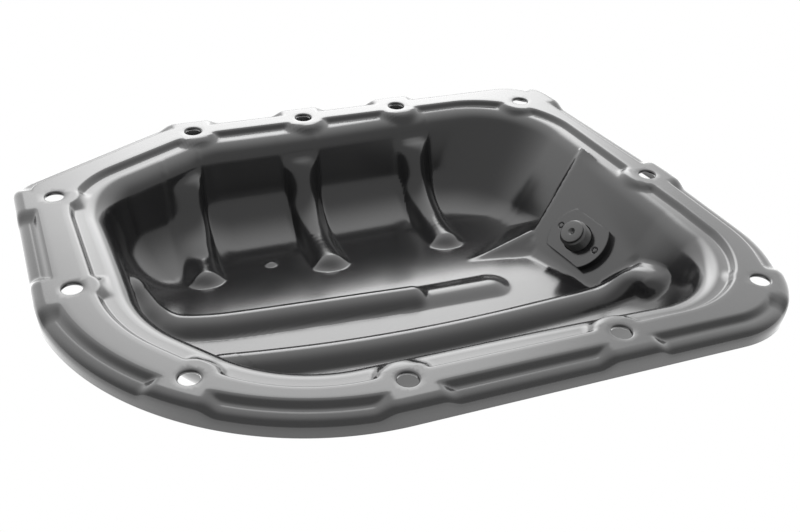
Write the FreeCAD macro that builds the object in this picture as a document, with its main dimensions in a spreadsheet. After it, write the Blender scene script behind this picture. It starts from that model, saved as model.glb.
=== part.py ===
import FreeCAD, Part
import math
import os
from FreeCAD import Placement, Rotation, Vector

# Engine oil pan: one deep-drawn steel sheet with a stepped bolting flange, a drain boss plate welded
# inside it, and a drain plug with its sealing washer. Z = 0 is the lowest point of the outside.
# Side "a" of the sheet is the one seen from above, side "b" is a sheet thickness below it.

os.makedirs("parts", exist_ok=True)
doc = FreeCAD.newDocument("oil_pan")
sheet = doc.addObject("Spreadsheet::Sheet", "Sizes")

# Driving dimensions: name, value in millimetres or degrees, meaning
SIZES = [
    ("steel_thickness", 1.5, "thickness of the pressed sheet"),
    ("pan_depth", 42.5, "flange top to the lowest point of the outside"),
    ("skirt_height", 8.5, "flange top to the lower edge of the turned-down skirt"),
    ("skirt_bend", 3.4, "outside radius from the flange into the skirt"),
    ("step_depth", 2.2, "how far the flange steps down beside its flat band"),
    ("outer_step_top", 7.3, "skirt face to the upper edge of the outer step"),
    ("outer_step_foot", 5.2, "skirt face to the foot of the outer step"),
    ("inner_step_top", 11.4, "bowl wall to the upper edge of the inner step"),
    ("inner_step_foot", 9.8, "bowl wall to the foot of the inner step"),
    ("rim_bend", 8.2, "radius from the flange into the bowl wall"),
    ("wall_inset", 0.8, "bowl outline to where an upright wall would meet the flange"),
    ("side_reach", 3.4, "the same outwards, on the sloping right side"),
    ("land_radius", 8.8, "full-height land round a bolt hole, at the top"),
    ("land_flare", 1.8, "how much wider the land is at its foot"),
    ("bolt_hole_diameter", 7.0, "clearance hole for an M6 bolt"),
    ("floor_bend", 16.0, "inside radius from the wall into the floor"),
    ("floor_slope", 4.0, "rise of the floor towards the front"),
    ("pocket_slope", 34.0, "slope of the back left pocket from the horizontal"),
    ("pocket_turn", 283.0, "direction that the back left pocket faces"),
    ("pocket_start", 17.5, "depth at which the back left pocket begins to slope"),
    ("rib_radius", 7.8, "radius of the rounded ribs on the back wall"),
    ("rib_height", 4.6, "height of a rib's nose above the floor"),
    ("rib_top", 17.0, "depth of the centre of a rib's rounded upper end"),
    ("rib_behind", 0.5, "how far a rib's middle line runs behind the bowl wall"),
    ("rib_bend", 17.0, "radius of that line's bend towards the floor"),
    ("rib_bend_top", 19.5, "depth at which that bend begins"),
    ("rib_reach", 45.0, "bowl wall to the middle of a rib's nose"),
    ("rib_left_x", -64.0, "place of the left rib"),
    ("rib_middle_x", -11.5, "place of the middle rib"),
    ("rib_right_x", 42.0, "place of the right rib"),
    ("bead_radius", 7.2, "radius of the long beads on the floor"),
    ("bead_height", 5.5, "height of a long bead above the floor"),
    ("front_bead_bow", 450.0, "radius of the front bead's gentle curve"),
    ("front_bead_left", -72.0, "left end of the front bead"),
    ("front_bead_right", 97.0, "right end of the front bead"),
    ("front_bead_y", -36.0, "place of the middle of the front bead"),
    ("back_bead_left", -62.0, "start of the back bead's straight run"),
    ("back_bead_right", 10.0, "right end of the back bead"),
    ("back_bead_y", -3.0, "place of the back bead where it straightens"),
    ("back_bead_drift", 5.5, "how far the back bead drifts forward along its run"),
    ("back_bead_hook", 43.0, "radius of the back bead's turn along the left wall"),
    ("back_bead_tip", 208.0, "direction of the back bead's tip from the centre of that turn"),
    ("low_bead_right", 43.0, "right end of the low run past the back bead"),
    ("low_bead_height", 2.0, "height of that low run"),
    ("dimple_radius", 3.2, "radius of the small round pip in the floor"),
    ("dimple_top", 1.6, "radius of the pip's flat top"),
    ("dimple_height", 1.2, "height of the pip"),
    ("dimple_x", -36.0, "place of the pip"),
    ("dimple_y", 38.7, "place of the pip"),
    ("drain_x", 86.7, "place of the drain axis on the drain facet"),
    ("drain_y", -5.6, "place of the drain axis on the drain facet"),
    ("drain_depth", 24.7, "depth of that point below the flange"),
    ("drain_turn", 13.6, "direction of the drain axis seen from above"),
    ("drain_dip", 46.8, "angle of the drain axis below the horizontal"),
    ("boss_diameter", 28.0, "round ends of the drain boss plate"),
    ("boss_width", 20.0, "across the two flats of the drain boss plate"),
    ("boss_thickness", 3.4, "thickness of the drain boss plate"),
    ("boss_turn", -2.7, "turn of the drain boss plate on its facet"),
    ("weld_spacing", 21.0, "between the two projection weld marks"),
    ("weld_radius", 1.0, "radius of a weld mark"),
    ("weld_depth", 0.5, "depth of a weld mark"),
    ("thread_diameter", 12.0, "major diameter of the drain plug's thread, M12 x 1.25"),
    ("thread_clearance", 0.05, "running clearance of the thread, on the radius"),
    ("sheet_hole_clearance", 0.5, "clearance of the hole in the sheet, on the radius"),
    ("plug_reach", 7.0, "how far the plug stands out of the boss plate, inside"),
    ("plug_chamfer", 0.8, "chamfer at the plug's tip"),
    ("plug_dimple", 1.3, "radius of the centre mark in the plug's tip"),
    ("flange_diameter", 20.0, "diameter of the plug's seating flange"),
    ("flange_thickness", 2.5, "thickness of the plug's seating flange"),
    ("hexagon_width", 14.0, "across the flats of the plug's head"),
    ("hexagon_height", 7.0, "height of the plug's head above its flange"),
    ("hexagon_chamfer", 0.8, "chamfer round the plug's head"),
    ("washer_diameter", 19.0, "outside diameter of the sealing washer"),
    ("washer_thickness", 2.0, "thickness of the sealing washer"),
    ("washer_clearance", 0.1, "washer bore to the plug's shank, on the radius"),
]

# Corners of the outlines of the skirt, the bowl's upper edge and its foot: x, y and corner radius,
# taken round from the back left
SKIRT_CORNERS = [
    (-132.632, 66.0, 14.0), (-130.3, -20.0, 48.0), (-109.0, -103.3, 103.0), (118.0, -103.3, 36.0),
    (133.0, -58.0, 60.0), (129.5, 0.0, 80.0), (114.5, 103.3, 24.0), (-68.0, 103.3, 20.0),
]
WALL_CORNERS = [
    (-102.5, 51.0, 26.0), (-98.0, -32.0, 50.0), (-62.0, -77.0, 50.0), (106.0, -77.0, 30.0),
    (105.5, -30.0, 60.0), (95.0, 77.0, 32.0), (-55.0, 77.0, 26.0),
]
FOOT_CORNERS = [
    (-97.5, 45.0, 22.0), (-93.5, -31.0, 45.0), (-59.0, -72.0, 45.0), (89.0, -72.0, 32.0),
    (86.5, -30.0, 60.0), (71.5, 67.0, 32.0), (-52.0, 67.0, 24.0),
]

# Corners of the drain facet on its own plane: along the level, uphill and corner radius
FACET_CORNERS = [
    (-35.7, 60.0, 4.0), (-23.3, -6.7, 4.0), (-11.0, -21.6, 4.0), (18.5, -12.8, 4.0), (27.0, -3.8, 4.0),
    (18.0, 60.0, 4.0),
]

# Bolt holes, clockwise from the back left
BOLT_HOLES = [
    (-117.3, 51.0), (-55.6, 91.5), (-5.6, 91.5), (39.5, 91.5), (98.8, 80.3), (117.6, -0.8),
    (113.2, -80.9), (48.7, -91.7), (-27.0, -91.7), (-89.4, -70.4), (-117.3, -12.9),
]

for prefix, corners in (("skirt", SKIRT_CORNERS), ("wall", WALL_CORNERS), ("foot", FOOT_CORNERS),
                        ("facet", FACET_CORNERS)):
    for number, (x, y, radius) in enumerate(corners, 1):
        SIZES.append((f"{prefix}_x_{number}", x, f"{prefix} outline, corner {number}"))
        SIZES.append((f"{prefix}_y_{number}", y, f"{prefix} outline, corner {number}"))
        SIZES.append((f"{prefix}_r_{number}", radius, f"{prefix} outline, corner radius {number}"))
for number, (x, y) in enumerate(BOLT_HOLES, 1):
    SIZES.append((f"hole_x_{number}", x, f"bolt hole {number}"))
    SIZES.append((f"hole_y_{number}", y, f"bolt hole {number}"))

for row, (name, value, meaning) in enumerate(SIZES, 1):
    sheet.set(f"A{row}", name)
    sheet.set(f"B{row}", str(value))
    sheet.set(f"C{row}", meaning)
    sheet.setAlias(f"B{row}", name)
doc.recompute()


def size(name):
    return float(sheet.get(name))


def corners_of(prefix, count):
    return [tuple(size(f"{prefix}_{part}_{n}") for part in "xyr") for n in range(1, count + 1)]


steel = size("steel_thickness")
floor_tilt = math.radians(size("floor_slope"))
skirt_corners = corners_of("skirt", len(SKIRT_CORNERS))
wall_corners = corners_of("wall", len(WALL_CORNERS))
foot_corners = corners_of("foot", len(FOOT_CORNERS))
facet_corners = corners_of("facet", len(FACET_CORNERS))
bolt_holes = [(size(f"hole_x_{n}"), size(f"hole_y_{n}")) for n in range(1, len(BOLT_HOLES) + 1)]
flange_top = size("pan_depth")


# Steps of the bends and of the curved runs, and the turns of the strips of a run's round back and ends
BEND_STEPS = 3
RUN_STEPS = 4
BACK_TURNS = range(-78, 79, 26)
END_TURNS = (62, 34)

# Enough to reach past the pan
FAR = 60.0
BLOCK = 600.0


# Outlines

def meeting_point(start, along, other, other_along):
    """Where two lines in plan meet."""
    step = (other - start).cross(other_along).z / along.cross(other_along).z
    return start + along * step


def outward_of(along):
    return Vector(along.y, -along.x, 0)


def sides_of(corners):
    """Start, direction and outward normal of each side of an outline, in plan."""
    points = [Vector(x, y, 0) for x, y, radius in corners]
    sides = []
    for index, point in enumerate(points):
        along = (points[(index + 1) % len(points)] - point).normalize()
        sides.append((point, along, outward_of(along)))
    return sides


def moved_sides(corners, moves):
    """The corners after each side has moved outwards by its own amount."""
    sides = sides_of(corners)
    moved = []
    for index, (point, along, outward) in enumerate(sides):
        before, direction, normal = sides[index - 1]
        start = before + normal * moves[index - 1]
        corner = meeting_point(start, direction, point + outward * moves[index], along)
        moved.append((corner.x, corner.y, corners[index][2] + (moves[index - 1] + moves[index]) / 2))
    return moved


def outline_wire(corners, heights):
    """Closed wire of lines and tangent arcs. Each side has its own rule for the height at a y."""
    sides = sides_of(corners)
    arcs = []
    for index, (corner, along, outward) in enumerate(sides):
        before = sides[index - 1][1]
        radius = corners[index][2]
        cut = radius * math.tan(before.getAngle(along) / 2)
        start = corner - before * cut
        end = corner + along * cut
        centre = start - sides[index - 1][2] * radius
        middle = centre + (corner - centre).normalize() * radius
        start.z = heights[index - 1](start.y)
        end.z = heights[index](end.y)
        middle.z = (heights[index - 1](middle.y) + heights[index](middle.y)) / 2
        arcs.append((start, middle, end))
    edges = []
    for index, (start, middle, end) in enumerate(arcs):
        edges.append(Part.Arc(start, middle, end).toShape())
        edges.append(Part.LineSegment(end, arcs[(index + 1) % len(arcs)][0]).toShape())
    return Part.Wire(edges)


def rounded_outline(corners, grow, z):
    """Level outline, grown by an offset."""
    grown = moved_sides(corners, [grow] * len(corners))
    return outline_wire(grown, [lambda y: z] * len(corners))


def prism(corners, grow, low, high):
    return Part.Face(rounded_outline(corners, grow, low)).extrude(Vector(0, 0, high - low))


def frustum(corners, low_grow, low, high_grow, high):
    """Solid between two offsets of one outline at two heights."""
    wires = [rounded_outline(corners, low_grow, low), rounded_outline(corners, high_grow, high)]
    return Part.makeLoft(wires, True, True)


def domed(corners, inset, low, high, bend):
    """Solid with upright sides whose upper edge is rounded by two slopes."""
    wires = [rounded_outline(corners, -inset, low)]
    for step in range(BEND_STEPS):
        angle = math.radians(90 * step / (BEND_STEPS - 1))
        z = high - bend * (1 - math.sin(angle))
        wires.append(rounded_outline(corners, -inset - bend * (1 - math.cos(angle)), z))
    return Part.makeLoft(wires, True, True)


# Flange

def land(centre, outward, reach, inset, low, high):
    """Full-height land: a round-ended slot from a bolt hole out to the skirt, with sloping sides."""
    wires = []
    for radius, z in ((size("land_radius") + size("land_flare") - inset, low), (size("land_radius") - inset, high)):
        side = Vector(-outward.y, outward.x, 0) * radius
        near = Vector(centre.x, centre.y, z)
        far = near + outward * reach
        wires.append(Part.Wire([
            Part.Arc(near + side, near - outward * radius, near - side).toShape(),
            Part.LineSegment(near - side, far - side).toShape(),
            Part.Arc(far - side, far + outward * radius, far + side).toShape(),
            Part.LineSegment(far + side, near + side).toShape(),
        ]))
    return Part.makeLoft(wires, True, True)


def flange_side(inset, bottom):
    """Everything under one side of the flange: inset 0 is side a, the sheet thickness is side b."""
    top = flange_top - inset
    low = top - size("step_depth")
    bend = size("skirt_bend") - inset
    base = domed(skirt_corners, inset, bottom, low, bend)
    full = domed(skirt_corners, inset, bottom, top, bend)
    band = frustum(skirt_corners, -size("outer_step_foot") - inset, low, -size("outer_step_top") - inset, top)
    trough = frustum(wall_corners, size("inner_step_foot") + inset, low, size("inner_step_top") + inset, top)
    outline = rounded_outline(skirt_corners, 0, 0)
    lands = []
    for x, y in bolt_holes:
        centre = Vector(x, y, 0)
        distance, pairs, info = outline.distToShape(Part.Vertex(centre))
        outward = (pairs[0][0] - centre).normalize()
        lands.append(land(centre, outward, distance, inset, low, top))
    lands = lands[0].multiFuse(lands[1:]).common(full)
    return base.fuse([band.cut(trough), lands])


# Bowl

def half_space(normal, point):
    """Large block on the far side of a plane, away from its normal."""
    block = Part.makeBox(BLOCK, BLOCK, BLOCK, Vector(-BLOCK / 2, -BLOCK / 2, -BLOCK))
    block.Placement = Placement(point, Rotation(Vector(0, 0, 1), normal))
    return block


def facing(turn, slope):
    """Upward normal of a wall that faces a direction and has a slope from the horizontal."""
    turn, slope = math.radians(turn), math.radians(slope)
    return Vector(math.cos(turn) * math.sin(slope), math.sin(turn) * math.sin(slope), math.cos(slope))


back_wall_y = max(y for x, y, radius in wall_corners)
brink_height = flange_top - size("step_depth")
RIGHT_SIDES = (3, 4)
brink_corners = moved_sides(wall_corners, [
    size("side_reach") if index in RIGHT_SIDES else -size("wall_inset") for index in range(len(wall_corners))
])
foot_back_y = max(y for x, y, radius in foot_corners)
back_slope = math.atan2(brink_height, max(y for x, y, radius in brink_corners) - foot_back_y)
lowest_y = foot_back_y - size("floor_bend") * math.tan(back_slope / 2)


def floor_height(y):
    """Height of the inside of the floor. Its lowest outside point, where the back bend begins, is at Z = 0."""
    return steel + (lowest_y - y) * math.tan(floor_tilt)


def bowl_levels(grow):
    """For each level of the bowl, from the foot bend to the rim: each side's part of the way from the foot
    to the brink, its distance from the foot and its rule for the height."""
    foot_bend, rim_bend = size("floor_bend"), size("rim_bend")
    foot_steps, levels = BEND_STEPS + 1, []
    for level in range(foot_steps + BEND_STEPS + 2):
        sides = []
        for foot, brink in zip(sides_of(foot_corners), sides_of(brink_corners)):
            run = (brink[0] - foot[0]).dot(foot[2])
            slope = math.atan2(brink_height - floor_height(foot[0].y), run)
            if level <= foot_steps:
                turn = slope * level / foot_steps
                reach = (foot_bend + grow) * math.sin(turn) - foot_bend * math.tan(slope / 2)
                rise = foot_bend - (foot_bend + grow) * math.cos(turn)
                height = lambda y, rise=rise: floor_height(y) + rise
            else:
                turn = slope * (foot_steps + BEND_STEPS + 1 - level) / BEND_STEPS
                reach = run + rim_bend * math.tan(slope / 2) - (rim_bend - grow) * math.sin(turn)
                top = brink_height - rim_bend + (rim_bend - grow) * math.cos(turn)
                height = lambda y, top=top: top
            sides.append((reach / run, reach, height))
        levels.append(sides)
    return levels


def level_wire(sides):
    """Outline of one level of the bowl."""
    count = len(foot_corners)
    lines = []
    for index in range(count):
        part = sides[index][0]
        ends = []
        for corner in (index, (index + 1) % count):
            foot, brink = Vector(*foot_corners[corner][:2], 0), Vector(*brink_corners[corner][:2], 0)
            ends.append(foot + (brink - foot) * part)
        lines.append((ends[0], (ends[1] - ends[0]).normalize()))
    corners = []
    for index in range(count):
        point = meeting_point(*lines[index - 1], *lines[index])
        part = (sides[index - 1][0] + sides[index][0]) / 2
        reach = (sides[index - 1][1] + sides[index][1]) / 2
        radius = foot_corners[index][2] + (brink_corners[index][2] - foot_corners[index][2]) * part
        if part < 0:
            radius = foot_corners[index][2] + reach
        corners.append((point.x, point.y, radius))
    return outline_wire(corners, [side[2] for side in sides])


def bowl(grow):
    """The plain bowl: its inside for grow 0, its outside for the sheet thickness."""
    wires = [level_wire(sides) for sides in bowl_levels(grow)]
    mouth = Part.Face(wires[-1]).extrude(Vector(0, 0, FAR))
    return Part.makeLoft(wires, True, True).fuse(mouth)


def back_left_pocket(inset):
    """Block under the sloping pocket, which ends under the left rib."""
    normal = facing(size("pocket_turn"), size("pocket_slope"))
    edge_x = size("rib_left_x")
    start = Vector(edge_x, back_wall_y, flange_top - size("pocket_start"))
    edge = Vector(edge_x - inset, 0, 0)
    return half_space(normal, start - normal * inset).common(half_space(Vector(1, 0, 0), edge))


def pressed_run(path, across, radius, root):
    """Round-backed run along a path with domed ends, in flat strips. Across is its sideways direction at
    each point of the path, and root is how far its straight sides go below it."""
    tangents = []
    for index in range(len(path)):
        ahead = path[min(index + 1, len(path) - 1)] - path[max(index - 1, 0)]
        tangents.append(ahead.normalize())
    last = len(path) - 1
    sections = []
    for turn in END_TURNS:
        turn = math.radians(turn)
        sections.append((path[0] - tangents[0] * (radius * math.sin(turn)), 0, radius * math.cos(turn)))
    sections += [(point, index, radius) for index, point in enumerate(path)]
    for turn in reversed(END_TURNS):
        turn = math.radians(turn)
        sections.append((path[last] + tangents[last] * (radius * math.sin(turn)), last, radius * math.cos(turn)))
    wires = []
    for centre, index, reach in sections:
        side = across[index]
        up = side.cross(tangents[index])
        points = []
        for angle in BACK_TURNS:
            turn = math.radians(angle)
            points.append(centre + side * (reach * math.sin(turn)) + up * (reach * math.cos(turn)))
        points += [centre + side * reach - up * root, centre - side * reach - up * root]
        wires.append(Part.makePolygon(points + points[:1]))
    return Part.makeLoft(wires, True, True)


def rib(x, inset):
    """Rounded rib down the back wall, round the bend and along the floor."""
    sink = size("rib_radius") - size("rib_height")
    bend = size("rib_bend")
    wall_y = back_wall_y + size("rib_behind")
    centre = Vector(x, wall_y - bend, flange_top - size("rib_bend_top"))
    nose_y = back_wall_y - size("rib_reach")
    nose = Vector(x, nose_y, floor_height(nose_y) - sink)
    way = nose - centre
    last_turn = math.atan2(way.z, way.y) + math.acos(bend / way.Length)
    path = [Vector(x, wall_y, flange_top - size("rib_top"))]
    for step in range(RUN_STEPS + 1):
        turn = last_turn * step / RUN_STEPS
        path.append(centre + Vector(0, math.cos(turn), math.sin(turn)) * bend)
    path.append(nose)
    return pressed_run(path, [Vector(-1, 0, 0)] * len(path), size("rib_radius") - inset, size("rib_radius"))


def bead(points, height, inset):
    """Run along the floor through plan points."""
    radius = size("bead_radius")
    path = [Vector(x, y, floor_height(y) + height - radius) for x, y in points]
    across = []
    for index in range(len(path)):
        ahead = path[min(index + 1, len(path) - 1)] - path[max(index - 1, 0)]
        across.append(Vector(ahead.y, -ahead.x, 0).normalize())
    return pressed_run(path, across, radius - inset, radius / 2)


def front_bead(inset):
    """Long bead with a gentle bow towards the front."""
    bow = size("front_bead_bow")
    left, right = size("front_bead_left"), size("front_bead_right")
    middle = (left + right) / 2
    points = []
    for step in range(RUN_STEPS + 2):
        x = left + (right - left) * step / (RUN_STEPS + 1)
        points.append((x, size("front_bead_y") + bow - math.sqrt(bow ** 2 - (x - middle) ** 2)))
    return bead(points, size("bead_height"), inset)


def back_bead(inset):
    """Bead behind it, which turns back along the left wall at one end, with a low run at the other."""
    hook = size("back_bead_hook")
    left, right, y = size("back_bead_left"), size("back_bead_right"), size("back_bead_y")
    angle = math.atan2(size("back_bead_drift"), right - left)
    centre = (left + hook * math.sin(angle), y + hook * math.cos(angle))
    tip = math.radians(size("back_bead_tip"))
    straight = math.atan2(y - centre[1], left - centre[0]) % math.tau
    points = []
    for step in range(RUN_STEPS + 1):
        turn = tip + (straight - tip) * step / RUN_STEPS
        points.append((centre[0] + hook * math.cos(turn), centre[1] + hook * math.sin(turn)))
    end = (right, y - size("back_bead_drift"))
    low_end = (size("low_bead_right"), y - size("back_bead_drift"))
    run = bead(points + [end], size("bead_height"), inset)
    return run.fuse(bead([end, low_end], size("low_bead_height"), inset))


def dimple(inset):
    """Small round pip in the floor."""
    x, y = size("dimple_x"), size("dimple_y")
    height = size("dimple_height")
    base = Vector(x, y, floor_height(y) - steel - inset)
    flare = (size("dimple_radius") - size("dimple_top")) / height
    return Part.makeCone(size("dimple_radius") + flare * steel, size("dimple_top"), height + steel, base)


# Drain

drain_normal = facing(size("drain_turn") + 180, 90 - size("drain_dip"))
drain_point = Vector(size("drain_x"), size("drain_y"), flange_top - size("drain_depth"))
turn = math.radians(size("drain_turn"))
level = Vector(math.sin(turn), -math.cos(turn), 0)
uphill = drain_normal.cross(level)
facet_frame = Placement(drain_point, Rotation(level, uphill, drain_normal, "ZXY"))


def raised_along_drain(distance):
    """Placement on the drain axis, a distance inwards from the drain facet."""
    return facet_frame.multiply(Placement(Vector(0, 0, distance), Rotation()))


def facet(inset):
    """Block under the flat drain facet."""
    block = Part.Face(rounded_outline(facet_corners, -inset, 0)).extrude(Vector(0, 0, -FAR))
    block.Placement = raised_along_drain(-inset)
    return block


def bowl_side(grow):
    """The bowl with everything that is pressed inwards: one side of the sheet."""
    raised = [back_left_pocket(grow), facet(grow), front_bead(grow), back_bead(grow), dimple(grow)]
    raised += [rib(size(name), grow) for name in ("rib_left_x", "rib_middle_x", "rib_right_x")]
    return bowl(grow).cut(raised)


def add(kind, name, placement=None, **sizes):
    """Document object whose sizes are bound to the sheet by expressions."""
    feature = doc.addObject(kind, name)
    for prop, expression in sizes.items():
        feature.setExpression(prop, expression)
    if placement is not None:
        feature.Placement = placement
    return feature


def add_shape(name, shape):
    feature = doc.addObject("Part::Feature", name)
    feature.Shape = shape
    return feature


def add_fuse(name, shapes):
    fuse = doc.addObject("Part::MultiFuse", name)
    fuse.Shapes = shapes
    return fuse


def add_cut(name, base, tools):
    cut = doc.addObject("Part::Cut", name)
    cut.Base = base
    cut.Tool = add_fuse(name + "_tools", tools) if len(tools) > 1 else tools[0]
    return cut


def pan_shell():
    skirt_bottom = flange_top - size("skirt_height")
    side_a = flange_side(0, skirt_bottom)
    side_b = flange_side(steel, skirt_bottom - steel)
    flange_sheet = side_a.cut(side_b)
    under = Part.makeBox(BLOCK, BLOCK, flange_top, Vector(-BLOCK / 2, -BLOCK / 2, -steel))
    room = side_a.fuse(under.cut(prism(skirt_corners, steel, skirt_bottom, flange_top)))
    outside = add_shape("sheet_outside", flange_sheet.fuse(bowl_side(steel).common(room)))
    tools = [add_shape("bowl_inside", bowl_side(0))]
    for number in range(1, len(bolt_holes) + 1):
        hole = add("Part::Cylinder", f"bolt_hole_{number}",
                   Radius="Sizes.bolt_hole_diameter / 2", Height="Sizes.skirt_height")
        hole.setExpression("Placement.Base.x", f"Sizes.hole_x_{number}")
        hole.setExpression("Placement.Base.y", f"Sizes.hole_y_{number}")
        hole.setExpression("Placement.Base.z", "Sizes.pan_depth - Sizes.skirt_height")
        tools.append(hole)
    tools.append(add("Part::Cylinder", "drain_hole", raised_along_drain(-2 * steel),
                     Radius="Sizes.thread_diameter / 2 + Sizes.sheet_hole_clearance",
                     Height="Sizes.steel_thickness * 3"))
    return add_cut("pan_shell", outside, tools)


def drain_boss_plate():
    """Nut plate welded to the inside of the drain facet: a disc with two flats and the plug's thread."""
    plate_turn = Placement(Vector(), Rotation(Vector(0, 0, 1), size("boss_turn")))
    on_facet = raised_along_drain(0).multiply(plate_turn)
    disc = add("Part::Cylinder", "plate_disc", on_facet,
               Radius="Sizes.boss_diameter / 2", Height="Sizes.boss_thickness")
    corner = Vector(-size("boss_diameter") / 2, -size("boss_width") / 2, 0)
    bar = add("Part::Box", "plate_flats", on_facet.multiply(Placement(corner, Rotation())),
              Length="Sizes.boss_diameter", Width="Sizes.boss_width", Height="Sizes.boss_thickness")
    blank = doc.addObject("Part::MultiCommon", "plate_blank")
    blank.Shapes = [disc, bar]
    tools = [add("Part::Cylinder", "plate_thread", on_facet,
                 Radius="Sizes.thread_diameter / 2 + Sizes.thread_clearance", Height="Sizes.boss_thickness")]
    for side in (-1, 1):
        place = Vector(side * size("weld_spacing") / 2, 0, size("boss_thickness") - size("weld_depth"))
        tools.append(add("Part::Cylinder", f"weld_mark_{(side + 3) // 2}",
                         on_facet.multiply(Placement(place, Rotation())),
                         Radius="Sizes.weld_radius", Height="Sizes.weld_depth"))
    return add_cut("drain_boss_plate", blank, tools)


def drain_gasket():
    """Sealing washer between the plug's flange and the outside of the drain facet."""
    seat = raised_along_drain(-steel - size("washer_thickness"))
    disc = add("Part::Cylinder", "washer_disc", seat,
               Radius="Sizes.washer_diameter / 2", Height="Sizes.washer_thickness")
    bore = add("Part::Cylinder", "washer_bore", seat,
               Radius="Sizes.thread_diameter / 2 + Sizes.washer_clearance", Height="Sizes.washer_thickness")
    return add_cut("drain_gasket", disc, [bore])


def drain_plug():
    """Threaded plug with a seating flange and a hexagon head, screwed in from outside."""
    seat = -steel - size("washer_thickness")
    tip = size("boss_thickness") + size("plug_reach")
    shank = add("Part::Cylinder", "plug_shank", raised_along_drain(seat), Radius="Sizes.thread_diameter / 2",
                Height="Sizes.steel_thickness + Sizes.washer_thickness + Sizes.boss_thickness"
                       " + Sizes.plug_reach - Sizes.plug_chamfer")
    point = add("Part::Cone", "plug_point", raised_along_drain(tip - size("plug_chamfer")),
                Radius1="Sizes.thread_diameter / 2", Radius2="Sizes.thread_diameter / 2 - Sizes.plug_chamfer",
                Height="Sizes.plug_chamfer")
    flange_low = seat - size("flange_thickness")
    flange = add("Part::Cylinder", "plug_flange", raised_along_drain(flange_low),
                 Radius="Sizes.flange_diameter / 2", Height="Sizes.flange_thickness")
    head_low = flange_low - size("hexagon_height")
    hexagon = add("Part::Prism", "plug_hexagon", raised_along_drain(head_low),
                  Circumradius="Sizes.hexagon_width / sqrt(3)", Height="Sizes.hexagon_height")
    hexagon.Polygon = 6
    crown = add("Part::Cone", "plug_crown", raised_along_drain(head_low),
                Radius1="Sizes.hexagon_width / 2 - Sizes.hexagon_chamfer / 4",
                Radius2="Sizes.hexagon_width / 2 - Sizes.hexagon_chamfer / 4 + Sizes.hexagon_height * 2",
                Height="Sizes.hexagon_height")
    head = doc.addObject("Part::MultiCommon", "plug_head")
    head.Shapes = [hexagon, crown]
    blank = add_fuse("plug_blank", [shank, point, flange, head])
    mark = add("Part::Cone", "plug_centre_mark", raised_along_drain(tip - size("plug_dimple")),
               Radius1="0 mm", Radius2="Sizes.plug_dimple", Height="Sizes.plug_dimple")
    return add_cut("drain_plug", blank, [mark])


pieces = [pan_shell(), drain_boss_plate(), drain_gasket(), drain_plug()]
doc.recompute()

for feature in doc.Objects:
    if "Invalid" in feature.State or "Error" in feature.State:
        raise RuntimeError(f"{feature.Label} failed to compute")
for piece in pieces:
    if piece.Shape.isNull() or not piece.Shape.isValid() or len(piece.Shape.Solids) != 1:
        raise RuntimeError(f"{piece.Label} is not one valid solid")
for piece in pieces:
    piece.Shape.exportStep(f"parts/{piece.Label}.step")
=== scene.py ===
import math
import bmesh
import bpy
import numpy as np
from mathutils import Matrix, Vector


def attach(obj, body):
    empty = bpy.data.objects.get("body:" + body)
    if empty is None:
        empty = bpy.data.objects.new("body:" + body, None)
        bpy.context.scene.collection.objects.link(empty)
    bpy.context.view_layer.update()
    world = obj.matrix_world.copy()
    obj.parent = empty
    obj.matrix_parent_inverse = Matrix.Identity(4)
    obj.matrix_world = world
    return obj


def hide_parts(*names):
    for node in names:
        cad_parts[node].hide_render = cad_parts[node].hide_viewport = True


# Looks of the engine oil pan. Lengths are millimetres, with the flange's top at height 0, until a mesh is
# made; room and camera are in metres. The front is the side nearest the camera, left is the camera's left.

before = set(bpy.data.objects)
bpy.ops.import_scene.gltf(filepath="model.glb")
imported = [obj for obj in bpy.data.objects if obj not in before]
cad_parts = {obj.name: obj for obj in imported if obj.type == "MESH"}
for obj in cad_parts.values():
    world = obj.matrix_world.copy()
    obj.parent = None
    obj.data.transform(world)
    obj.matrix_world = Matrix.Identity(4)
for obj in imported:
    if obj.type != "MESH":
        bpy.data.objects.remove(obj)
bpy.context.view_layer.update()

TOP = 42.5  # height of the flange's top in the frame
STEEL = 1.5  # thickness of the sheet
STEP = 2.2  # depth of the flange's lower parts below its top
SKIRT_LOW = -8.5  # lower edge of the skirt
MM = 0.001

# Outlines in plan, as corners x, y and radius: the skirt's outside, the top of the wall and its foot
SKIRT = [
    (-132.632, 66.0, 14.0), (-130.3, -20.0, 48.0), (-109.0, -103.3, 103.0), (118.0, -103.3, 36.0),
    (133.0, -58.0, 60.0), (129.5, 0.0, 80.0), (114.5, 103.3, 24.0), (-68.0, 103.3, 20.0),
]
WALL = [
    (-102.5, 51.0, 26.0), (-98.0, -32.0, 50.0), (-62.0, -77.0, 50.0), (106.0, -77.0, 30.0),
    (105.5, -30.0, 60.0), (95.0, 77.0, 32.0), (-55.0, 77.0, 26.0),
]
FOOT = [
    (-94.5, 42.5, 22.0), (-92.5, -31.0, 45.0), (-59.0, -72.0, 45.0), (93.0, -72.0, 32.0),
    (91.0, -30.0, 60.0), (71.5, 67.0, 32.0), (-52.0, 67.0, 24.0),
]
# Centres of the bolt holes
HOLES = [
    (-117.3, 51.0), (-55.6, 91.5), (-5.6, 91.5), (39.5, 91.5), (98.8, 80.3), (117.6, -0.8),
    (113.2, -80.9), (48.7, -91.7), (-27.0, -91.7), (-89.4, -70.4), (-117.3, -12.9),
]
HOLE_RADIUS = 3.5

# The slanted drain facet: centre of its hole, direction into the bowl, level and uphill directions on it
DRAIN = np.array((86.7, -5.6, -24.7))
TURN, DIP = math.radians(13.6), math.radians(46.8)
INWARD = -np.array((math.cos(TURN) * math.cos(DIP), math.sin(TURN) * math.cos(DIP), -math.sin(DIP)))
LEVEL = np.array((math.sin(TURN), -math.cos(TURN), 0.0))
UPHILL = np.cross(INWARD, LEVEL)


# Outlines

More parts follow.
